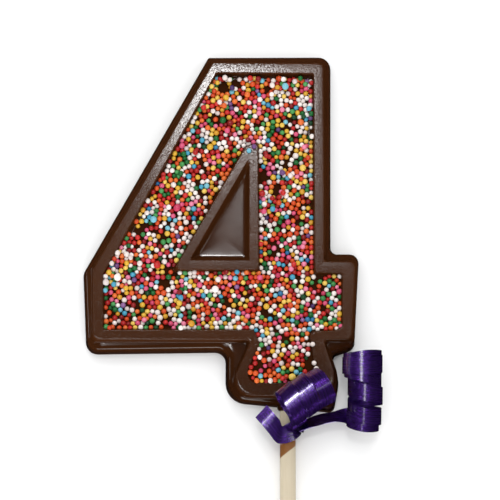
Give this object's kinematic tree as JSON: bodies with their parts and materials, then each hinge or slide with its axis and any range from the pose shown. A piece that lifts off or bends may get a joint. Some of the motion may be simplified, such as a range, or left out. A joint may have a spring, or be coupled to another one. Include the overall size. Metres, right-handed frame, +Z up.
{
  "type": "number lollipop",
  "caption": "Moulded dark chocolate figure four with a sunken bed of round sugar sprinkles, on a paper stick with a curled gift ribbon tied round it.",
  "frame": {"origin": "middle of the underside of the whole lollipop's box, as it lies on its flat back", "axes": "+Z up out of the decorated front, +Y to the top of the figure and away from the stick, +X to the right of the figure"},
  "size_m": [0.0864, 0.2156, 0.0211],
  "materials": {
    "chocolate": "smooth dark chocolate with a soft satin gloss",
    "stick": "rolled cream paper, matt",
    "ribbon": "glossy purple curling ribbon",
    "sprinkle_white": "hard sugar, slight sheen",
    "sprinkle_red": "hard sugar, slight sheen",
    "sprinkle_orange": "hard sugar, slight sheen",
    "sprinkle_yellow": "hard sugar, slight sheen",
    "sprinkle_pink": "hard sugar, slight sheen",
    "sprinkle_green": "hard sugar, slight sheen",
    "sprinkle_blue": "hard sugar, slight sheen",
    "sprinkle_purple": "hard sugar, slight sheen"
  },
  "bodies": {
    "root": {"chocolate": "chocolate", "stick": "stick", "ribbon": "ribbon"}
  },
  "joints": []
}
